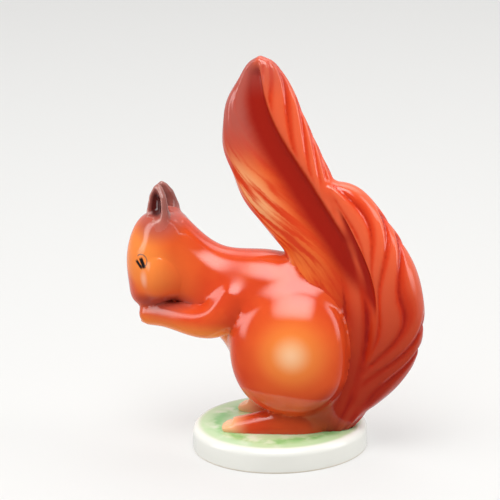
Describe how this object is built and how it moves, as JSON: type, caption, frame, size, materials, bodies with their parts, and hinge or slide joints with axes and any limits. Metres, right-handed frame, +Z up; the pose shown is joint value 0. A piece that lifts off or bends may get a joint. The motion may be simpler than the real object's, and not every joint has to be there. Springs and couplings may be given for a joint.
{
  "type": "squirrel figurine",
  "caption": "Glazed porcelain squirrel sitting up on a round plinth, forepaws at its mouth and a tall fluted tail behind it; a shelf ornament.",
  "frame": {"origin": "under the middle of the figurine's length and width, on the surface that it stands on", "axes": "+Z up, the squirrel looks along -X, its left side faces -Y"},
  "size_m": [0.0864, 0.05, 0.1132],
  "materials": {
    "plinth_glaze": "gloss",
    "red_glaze": "gloss",
    "tail_glaze": "gloss",
    "ear_glaze": "gloss"
  },
  "bodies": {
    "root": {"plinth": "plinth_glaze", "torso": "red_glaze", "head": "red_glaze", "left_ear": "ear_glaze", "right_ear": "ear_glaze", "left_foreleg": "red_glaze", "right_foreleg": "red_glaze", "left_haunch": "red_glaze", "right_haunch": "red_glaze", "left_hind_foot": "red_glaze", "right_hind_foot": "red_glaze", "tail": "tail_glaze"}
  },
  "joints": []
}
